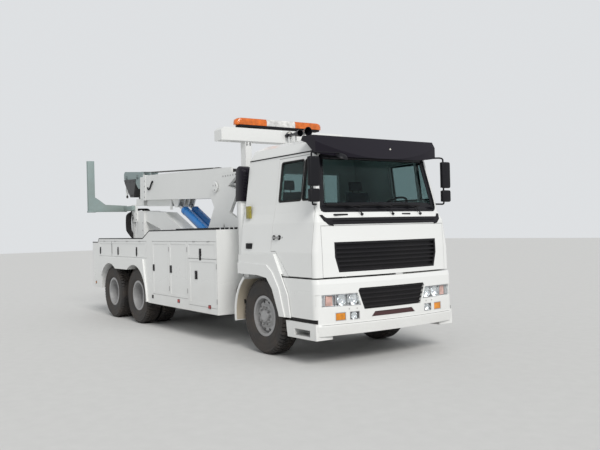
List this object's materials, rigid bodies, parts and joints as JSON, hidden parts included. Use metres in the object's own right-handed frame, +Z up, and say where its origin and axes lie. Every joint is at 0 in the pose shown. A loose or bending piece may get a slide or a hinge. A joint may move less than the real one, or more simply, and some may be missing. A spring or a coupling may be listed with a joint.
{
  "type": "heavy recovery truck with boom and underlift",
  "caption": "Forward-control heavy recovery truck with tilting cab, locker body, telescopic boom on a tower and folding rear underlift.",
  "frame": {"origin": "on the ground below the middle of the truck", "axes": "+X forward, +Y to the truck's left, +Z up"},
  "size_m": [9.3466, 2.55, 3.555],
  "materials": {
    "white_paint": "gloss white paint",
    "chassis_paint": "satin black paint",
    "cast_iron": "grey engine castings",
    "head_paint": "grey-green paint",
    "winch_paint": "black paint and rope drums",
    "blue_paint": "gloss blue paint",
    "rod_chrome": "hard chromed rods",
    "clear_lamp": "clear lamp lenses",
    "red_lamp": "red lamp lenses",
    "amber_lamp": "amber lenses",
    "black_plastic": "black moulded plastic",
    "glass": "tinted safety glass",
    "rim_paint": "silver-grey painted steel",
    "tyre": "tyre rubber"
  },
  "bodies": {
    "chassis": {"chassis_frame": "chassis_paint", "powertrain": "cast_iron", "axles": "chassis_paint", "bumper": "white_paint", "front_lamps": "clear_lamp", "lower_grille": "black_plastic", "front_mudguards": "white_paint", "side_body_left": "white_paint", "side_body_right": "white_paint", "deck": "white_paint", "rear_lamps": "red_lamp", "tower": "white_paint", "light_gantry": "white_paint", "light_bar": "amber_lamp", "air_intake": "black_plastic", "underlift_mast": "white_paint"},
    "cab": {"cab_shell": "white_paint", "cab_glass": "glass", "sun_visor": "black_plastic", "mirrors": "black_plastic", "cab_interior": "black_plastic"},
    "front_flap": {"front_flap": "white_paint", "upper_grille": "black_plastic"},
    "cab_door_left": {"cab_door_left": "white_paint", "door_glass_left": "glass"},
    "cab_door_right": {"cab_door_right": "white_paint", "door_glass_right": "glass"},
    "knuckle_left": {"knuckle_left": "chassis_paint"},
    "knuckle_right": {"knuckle_right": "chassis_paint"},
    "boom": {"boom_outer": "white_paint", "winches": "winch_paint"},
    "boom_extension": {"boom_inner": "white_paint", "boom_head": "head_paint", "hook_block": "winch_paint"},
    "lift_barrels": {"lift_barrels": "blue_paint"},
    "lift_rods": {"lift_rods": "rod_chrome"},
    "underlift_arm": {"underlift_arm": "white_paint"},
    "underlift_extension": {"underlift_crossbar": "white_paint"},
    "wheel_front_left": {"wheel_front_left": "rim_paint", "tyre_front_left": "tyre"},
    "wheel_front_right": {"wheel_front_right": "rim_paint", "tyre_front_right": "tyre"},
    "wheel_mid_left": {"wheel_mid_left": "rim_paint", "tyre_mid_left": "tyre"},
    "wheel_mid_right": {"wheel_mid_right": "rim_paint", "tyre_mid_right": "tyre"},
    "wheel_rear_left": {"wheel_rear_left": "rim_paint", "tyre_rear_left": "tyre"},
    "wheel_rear_right": {"wheel_rear_right": "rim_paint", "tyre_rear_right": "tyre"},
    "flap_rear_left": {"flap_rear_left": "white_paint"},
    "door_tall_rear_left": {"door_tall_rear_left": "white_paint"},
    "door_tall_front_left": {"door_tall_front_left": "white_paint"},
    "flap_front_left": {"flap_front_left": "white_paint"},
    "door_low_front_left": {"door_low_front_left": "white_paint"},
    "flap_rear_right": {"flap_rear_right": "white_paint"},
    "door_tall_rear_right": {"door_tall_rear_right": "white_paint"},
    "door_tall_front_right": {"door_tall_front_right": "white_paint"},
    "flap_front_right": {"flap_front_right": "white_paint"},
    "door_low_front_right": {"door_low_front_right": "white_paint"}
  },
  "joints": [
    {"name": "steer_left", "type": "hinge", "parent": "chassis", "child": "knuckle_left", "pos_m": [3.16, 0.83, 0.542], "axis": [0, 0, 1], "range_deg": [-32, 32]},
    {"name": "wheel_front_left_spin", "type": "hinge", "parent": "knuckle_left", "child": "wheel_front_left", "pos_m": [3.16, 1.005, 0.542], "axis": [0, 1, 0], "continuous": true},
    {"name": "wheel_mid_left_spin", "type": "hinge", "parent": "chassis", "child": "wheel_mid_left", "pos_m": [-1.44, 0.89, 0.542], "axis": [0, 1, 0], "continuous": true},
    {"name": "wheel_rear_left_spin", "type": "hinge", "parent": "chassis", "child": "wheel_rear_left", "pos_m": [-2.79, 0.89, 0.542], "axis": [0, 1, 0], "continuous": true},
    {"name": "steer_right", "type": "hinge", "parent": "chassis", "child": "knuckle_right", "pos_m": [3.16, -0.83, 0.542], "axis": [0, 0, 1], "range_deg": [-32, 32]},
    {"name": "wheel_front_right_spin", "type": "hinge", "parent": "knuckle_right", "child": "wheel_front_right", "pos_m": [3.16, -1.005, 0.542], "axis": [0, 1, 0], "continuous": true},
    {"name": "wheel_mid_right_spin", "type": "hinge", "parent": "chassis", "child": "wheel_mid_right", "pos_m": [-1.44, -0.89, 0.542], "axis": [0, 1, 0], "continuous": true},
    {"name": "wheel_rear_right_spin", "type": "hinge", "parent": "chassis", "child": "wheel_rear_right", "pos_m": [-2.79, -0.89, 0.542], "axis": [0, 1, 0], "continuous": true},
    {"name": "cab_tilt", "type": "hinge", "parent": "chassis", "child": "cab", "pos_m": [4.54, 0, 0.6], "axis": [0, 1, 0], "range_deg": [0, 45]},
    {"name": "front_flap_lift", "type": "hinge", "parent": "cab", "child": "front_flap", "pos_m": [4.595, 0, 1.8], "axis": [0, -1, 0], "range_deg": [0, 75]},
    {"name": "cab_door_left_swing", "type": "hinge", "parent": "cab", "child": "cab_door_left", "pos_m": [4.45, 1.2, 1.9], "axis": [0, 0, -1], "range_deg": [0, 70]},
    {"name": "flap_rear_left_lift", "type": "hinge", "parent": "chassis", "child": "flap_rear_left", "pos_m": [-2.16, 1.24, 1.6], "axis": [1, 0, 0], "range_deg": [0, 90]},
    {"name": "door_tall_rear_left_swing", "type": "hinge", "parent": "chassis", "child": "door_tall_rear_left", "pos_m": [0.175, 1.24, 1.12], "axis": [0, 0, -1], "range_deg": [0, 90]},
    {"name": "door_tall_front_left_swing", "type": "hinge", "parent": "chassis", "child": "door_tall_front_left", "pos_m": [0.912, 1.24, 1.12], "axis": [0, 0, -1], "range_deg": [0, 90]},
    {"name": "flap_front_left_lift", "type": "hinge", "parent": "chassis", "child": "flap_front_left", "pos_m": [1.4385, 1.24, 1.6], "axis": [1, 0, 0], "range_deg": [0, 90]},
    {"name": "door_low_front_left_swing", "type": "hinge", "parent": "chassis", "child": "door_low_front_left", "pos_m": [1.955, 1.24, 0.9365], "axis": [0, 0, -1], "range_deg": [0, 90]},
    {"name": "cab_door_right_swing", "type": "hinge", "parent": "cab", "child": "cab_door_right", "pos_m": [4.45, -1.2, 1.9], "axis": [0, 0, 1], "range_deg": [0, 70]},
    {"name": "flap_rear_right_lift", "type": "hinge", "parent": "chassis", "child": "flap_rear_right", "pos_m": [-2.16, -1.24, 1.6], "axis": [-1, 0, 0], "range_deg": [0, 90]},
    {"name": "door_tall_rear_right_swing", "type": "hinge", "parent": "chassis", "child": "door_tall_rear_right", "pos_m": [0.175, -1.24, 1.12], "axis": [0, 0, 1], "range_deg": [0, 90]},
    {"name": "door_tall_front_right_swing", "type": "hinge", "parent": "chassis", "child": "door_tall_front_right", "pos_m": [0.912, -1.24, 1.12], "axis": [0, 0, 1], "range_deg": [0, 90]},
    {"name": "flap_front_right_lift", "type": "hinge", "parent": "chassis", "child": "flap_front_right", "pos_m": [1.4385, -1.24, 1.6], "axis": [-1, 0, 0], "range_deg": [0, 90]},
    {"name": "door_low_front_right_swing", "type": "hinge", "parent": "chassis", "child": "door_low_front_right", "pos_m": [1.955, -1.24, 0.9365], "axis": [0, 0, 1], "range_deg": [0, 90]},
    {"name": "boom_lift", "type": "hinge", "parent": "chassis", "child": "boom", "pos_m": [0.3, 0, 2.57], "axis": [0, 1, 0], "range_deg": [0, 45]},
    {"name": "boom_extend", "type": "slide", "parent": "boom", "child": "boom_extension", "axis": [-0.9993, 0, 0.0366], "range_m": [0, 2]},
    {"name": "lift_barrels_swing", "type": "hinge", "parent": "chassis", "child": "lift_barrels", "pos_m": [0.21, 0, 1.39], "axis": [0, 1, 0], "range_deg": [-1, 33.9]},
    {"name": "lift_rods_extend", "type": "slide", "parent": "lift_barrels", "child": "lift_rods", "axis": [-0.9008, 0, 0.4343], "range_m": [-0.001, 0.75]},
    {"name": "underlift_fold", "type": "hinge", "parent": "chassis", "child": "underlift_arm", "pos_m": [-4.32, 0, 0.58], "axis": [0, -1, 0], "range_deg": [0, 105]},
    {"name": "underlift_extend", "type": "slide", "parent": "underlift_arm", "child": "underlift_extension", "axis": [0, 0, 1], "range_m": [0, 0.65]}
  ],
  "couplings": [
    {"joint": "steer_left", "follows": "steer_right", "ratio": 1},
    {"joint": "lift_barrels_swing", "follows": "boom_lift", "ratio": 0.732},
    {"joint": "lift_rods_extend", "follows": "boom_lift", "m_per_rad": 0.952}
  ]
}
